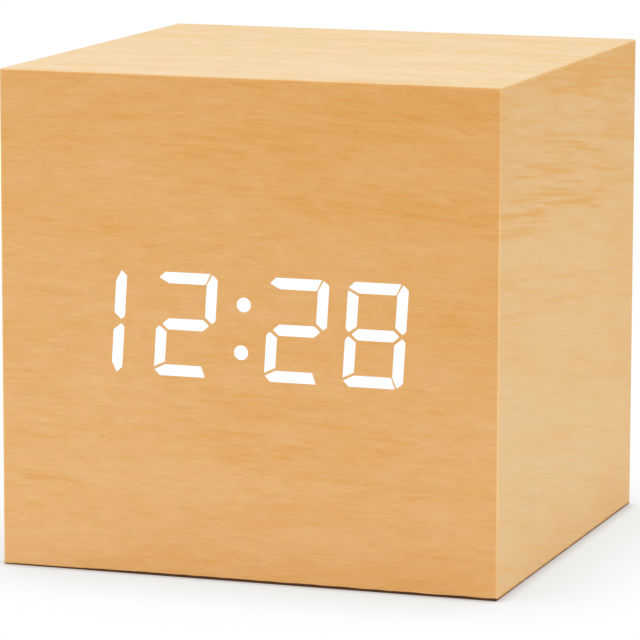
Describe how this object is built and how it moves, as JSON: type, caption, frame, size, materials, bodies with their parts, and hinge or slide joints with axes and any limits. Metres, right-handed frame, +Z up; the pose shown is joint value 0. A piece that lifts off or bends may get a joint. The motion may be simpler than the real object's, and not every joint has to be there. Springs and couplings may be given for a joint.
{
  "type": "digital alarm clock",
  "caption": "Wood-veneered cube alarm clock with a white seven-segment time display in its front, push buttons, a USB socket and a hinged battery door at the rear.",
  "frame": {"origin": "middle of the base, on the table", "axes": "+X to the right seen from the front, +Y from the front to the rear, +Z up"},
  "size_m": [0.062, 0.06, 0.06],
  "materials": {
    "veneer": "satin",
    "fibreboard": "matt",
    "block_wood": "matt",
    "lit_segment": "satin",
    "clear_segment": "satin",
    "reflector_white": "matt",
    "led_yellow": "gloss",
    "circuit_green": "satin",
    "chip_black": "matt",
    "bright_steel": "satin",
    "dark_steel": "satin",
    "capacitor_blue": "gloss",
    "header_ivory": "matt",
    "ribbon_grey": "satin",
    "panel_black": "fine grain",
    "button_black": "satin",
    "switch_grey": "satin",
    "plunger_cream": "satin",
    "battery_sleeve": "gloss",
    "red_wire": "satin",
    "black_wire": "satin"
  },
  "bodies": {
    "case": {"front_board": "fibreboard", "left_board": "fibreboard", "right_board": "fibreboard", "top_board": "fibreboard", "base_board": "fibreboard", "corner_blocks": "block_wood", "veneer_wrap": "veneer", "veneer_top": "veneer", "veneer_base": "veneer", "veneer_rim": "veneer", "display_reflector": "reflector_white", "hour_tens_digit": "lit_segment", "hour_units_digit": "lit_segment", "colon_dots": "lit_segment", "minute_tens_digit": "lit_segment", "minute_units_digit": "lit_segment", "unlit_segments": "clear_segment", "led_chips": "led_yellow", "display_board": "circuit_green", "display_board_screws": "bright_steel", "controller_chip": "chip_black", "driver_chip": "chip_black", "watch_crystal": "bright_steel", "capacitor": "capacitor_blue", "chip_resistors": "chip_black", "display_header": "header_ivory", "ribbon_cable": "ribbon_grey", "key_board_header": "header_ivory", "rear_panel": "panel_black", "rear_panel_screws": "dark_steel", "set_switch": "switch_grey", "up_switch": "switch_grey", "down_switch": "switch_grey", "key_board": "circuit_green", "key_board_screws": "bright_steel", "usb_shell": "bright_steel", "usb_insert": "chip_black", "buzzer": "chip_black", "microphone": "bright_steel", "battery_1": "battery_sleeve", "battery_2": "battery_sleeve", "battery_3": "battery_sleeve", "contact_springs": "bright_steel", "positive_contact": "bright_steel", "negative_contact": "bright_steel", "link_contacts": "bright_steel", "red_lead": "red_wire", "black_lead": "black_wire"},
    "set_button": {"set_button": "button_black", "set_plunger": "plunger_cream"},
    "up_button": {"up_button": "button_black", "up_plunger": "plunger_cream"},
    "down_button": {"down_button": "button_black", "down_plunger": "plunger_cream"},
    "battery_door": {"battery_door": "panel_black"}
  },
  "joints": [
    {"name": "set_button_press", "type": "slide", "parent": "case", "child": "set_button", "axis": [0, -1, 0], "range_m": [0, 0.0005], "stiffness_N_per_m": 3200},
    {"name": "up_button_press", "type": "slide", "parent": "case", "child": "up_button", "axis": [0, -1, 0], "range_m": [0, 0.0005], "stiffness_N_per_m": 3200},
    {"name": "down_button_press", "type": "slide", "parent": "case", "child": "down_button", "axis": [0, -1, 0], "range_m": [0, 0.0005], "stiffness_N_per_m": 3200},
    {"name": "battery_door_hinge", "type": "hinge", "parent": "case", "child": "battery_door", "pos_m": [0, 0.0275, 0.0412], "axis": [1, 0, 0], "range_deg": [0, 80]}
  ]
}
